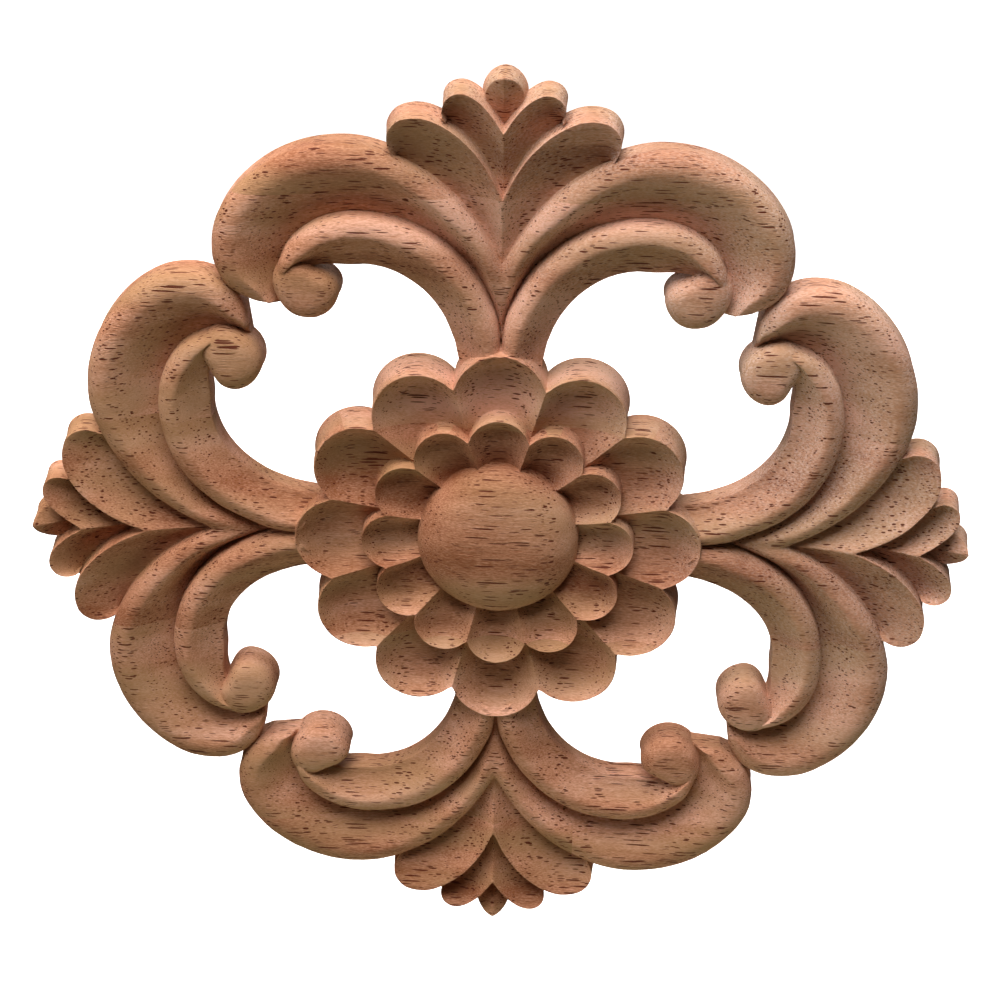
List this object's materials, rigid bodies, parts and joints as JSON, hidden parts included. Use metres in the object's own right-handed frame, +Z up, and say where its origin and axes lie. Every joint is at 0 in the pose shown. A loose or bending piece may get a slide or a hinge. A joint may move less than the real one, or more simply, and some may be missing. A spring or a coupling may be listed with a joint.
{
  "type": "carved wooden applique",
  "caption": "Square openwork wood applique with a petalled rosette, four scrolled arms and leaf tips, flat on the back for fixing to furniture, doors or walls.",
  "frame": {"origin": "centre of the flat back face, behind the rosette", "axes": "+Z up one arm, +X to the right along another arm, +Y out of the flat back into what it is fixed to, so the carved front faces -Y"},
  "size_m": [0.2, 0.0128, 0.2],
  "materials": {
    "carved_wood": "bare, unfinished, fine sanded"
  },
  "bodies": {
    "root": {"carved_applique": "carved_wood"}
  },
  "joints": []
}
